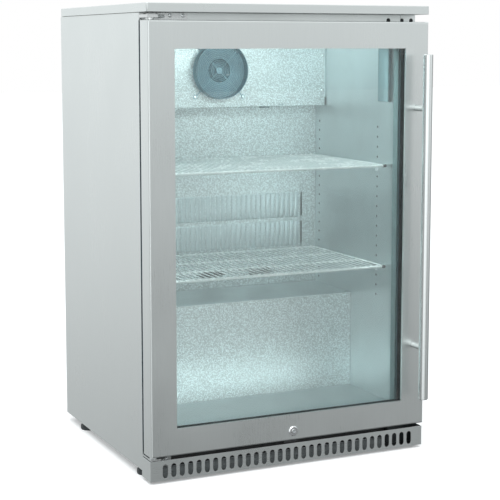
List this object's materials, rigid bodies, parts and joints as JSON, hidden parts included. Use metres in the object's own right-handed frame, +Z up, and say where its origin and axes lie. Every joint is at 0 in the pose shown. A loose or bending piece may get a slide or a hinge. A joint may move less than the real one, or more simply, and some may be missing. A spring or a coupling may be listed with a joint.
{
  "type": "undercounter refrigerator",
  "caption": "Undercounter bottle cooler with one hinged glass door, stainless cabinet, tall bar handle, wire shelves, fan-cooled evaporator and slotted plinth.",
  "frame": {"origin": "middle of the footprint's bounding box, on the floor plane under the feet", "axes": "+X to the right as seen from the front, +Y to the back, +Z up; the door faces -Y"},
  "size_m": [0.6, 0.571, 0.9],
  "materials": {
    "stainless": "satin",
    "galvanised": "satin",
    "liner_aluminium": "satin",
    "embossed_aluminium": "satin",
    "coated_wire": "gloss",
    "black_steel": "satin",
    "black_plastic": "satin",
    "grey_plastic": "satin",
    "rubber": "matte",
    "glass": "gloss",
    "foam": "matte",
    "copper": "polished",
    "chrome": "polished",
    "lens": "satin"
  },
  "bodies": {
    "cabinet": {"worktop": "stainless", "side_panel_left": "stainless", "side_panel_right": "stainless", "front_fascia": "stainless", "front_sill": "stainless", "kick_grille": "stainless", "hinge_bracket_top": "stainless", "hinge_bracket_bottom": "stainless", "rear_panel": "galvanised", "machine_cover": "galvanised", "base_pan": "galvanised", "liner_left": "liner_aluminium", "liner_right": "liner_aluminium", "liner_ceiling_and_back": "liner_aluminium", "liner_floor": "liner_aluminium", "step_top": "liner_aluminium", "evaporator_coil": "liner_aluminium", "condenser_coil": "liner_aluminium", "step_front": "embossed_aluminium", "duct_panel": "embossed_aluminium", "evaporator_cover": "embossed_aluminium", "evaporator_fan_guard": "black_steel", "evaporator_fan_motor": "black_steel", "compressor": "black_steel", "condenser_fan_motor": "black_steel", "breaker_strip": "black_plastic", "condensate_tray": "black_plastic", "evaporator_drip_tray": "grey_plastic", "drain_tube": "grey_plastic", "control_housing": "grey_plastic", "lamp_housing": "grey_plastic", "power_cord_gland": "rubber", "cabinet_insulation": "foam", "suction_pipe": "copper", "discharge_pipe": "copper", "lamp_lens": "lens"},
    "door": {"door_frame": "stainless", "door_inner_frame": "black_plastic", "glass_outer": "glass", "glass_inner": "glass", "glass_spacer": "black_plastic", "door_gasket": "rubber", "handle_bar": "stainless", "handle_post_upper": "stainless", "handle_post_lower": "stainless", "lock_housing": "chrome", "hinge_bush_top": "black_plastic", "hinge_bush_bottom": "black_plastic"},
    "lock": {"lock_barrel": "chrome", "lock_cam": "galvanised"},
    "evaporator_fan": {"evaporator_fan_blade": "grey_plastic"},
    "condenser_fan": {"condenser_fan_blade": "liner_aluminium"},
    "thermostat": {"thermostat_knob": "black_plastic"},
    "switch": {"lamp_switch": "black_plastic"},
    "shelf_upper": {"shelf_upper": "coated_wire"},
    "shelf_lower": {"shelf_lower": "coated_wire"},
    "foot_front_left": {"foot_front_left": "black_plastic"},
    "foot_rear_left": {"foot_rear_left": "black_plastic"},
    "foot_front_right": {"foot_front_right": "black_plastic"},
    "foot_rear_right": {"foot_rear_right": "black_plastic"}
  },
  "joints": [
    {"name": "door_hinge", "type": "hinge", "parent": "cabinet", "child": "door", "pos_m": [-0.2878, -0.2205, 0.46], "axis": [0, 0, -1], "range_deg": [0, 110], "stiffness_Nm_per_rad": 0.8, "springref_deg": -11.46},
    {"name": "lock_turn", "type": "hinge", "parent": "door", "child": "lock", "pos_m": [0, -0.2285, 0.071], "axis": [0, 1, 0], "range_deg": [0, 90]},
    {"name": "evaporator_fan_spin", "type": "hinge", "parent": "cabinet", "child": "evaporator_fan", "pos_m": [0, 0.1355, 0.769], "axis": [0, 1, 0], "continuous": true},
    {"name": "condenser_fan_spin", "type": "hinge", "parent": "cabinet", "child": "condenser_fan", "pos_m": [-0.112, 0.1605, 0.13], "axis": [1, 0, 0], "continuous": true},
    {"name": "thermostat_turn", "type": "hinge", "parent": "cabinet", "child": "thermostat", "pos_m": [0.252, -0.1285, 0.8305], "axis": [1, 0, 0], "range_deg": [0, 270]},
    {"name": "lamp_switch_rock", "type": "hinge", "parent": "cabinet", "child": "switch", "pos_m": [0.251, -0.1485, 0.8305], "axis": [0, -1, 0], "range_deg": [0, 8]},
    {"name": "shelf_upper_lift", "type": "slide", "parent": "cabinet", "child": "shelf_upper", "axis": [0, 0, 1], "range_m": [0, 0.025]},
    {"name": "shelf_lower_lift", "type": "slide", "parent": "cabinet", "child": "shelf_lower", "axis": [0, 0, 1], "range_m": [0, 0.025]},
    {"name": "foot_front_left_turn", "type": "hinge", "parent": "cabinet", "child": "foot_front_left", "pos_m": [-0.278, -0.1545, 0.006], "axis": [0, 0, 1], "continuous": true},
    {"name": "foot_rear_left_turn", "type": "hinge", "parent": "cabinet", "child": "foot_rear_left", "pos_m": [-0.278, 0.1905, 0.006], "axis": [0, 0, 1], "continuous": true},
    {"name": "foot_front_right_turn", "type": "hinge", "parent": "cabinet", "child": "foot_front_right", "pos_m": [0.278, -0.1545, 0.006], "axis": [0, 0, 1], "continuous": true},
    {"name": "foot_rear_right_turn", "type": "hinge", "parent": "cabinet", "child": "foot_rear_right", "pos_m": [0.278, 0.1905, 0.006], "axis": [0, 0, 1], "continuous": true}
  ]
}
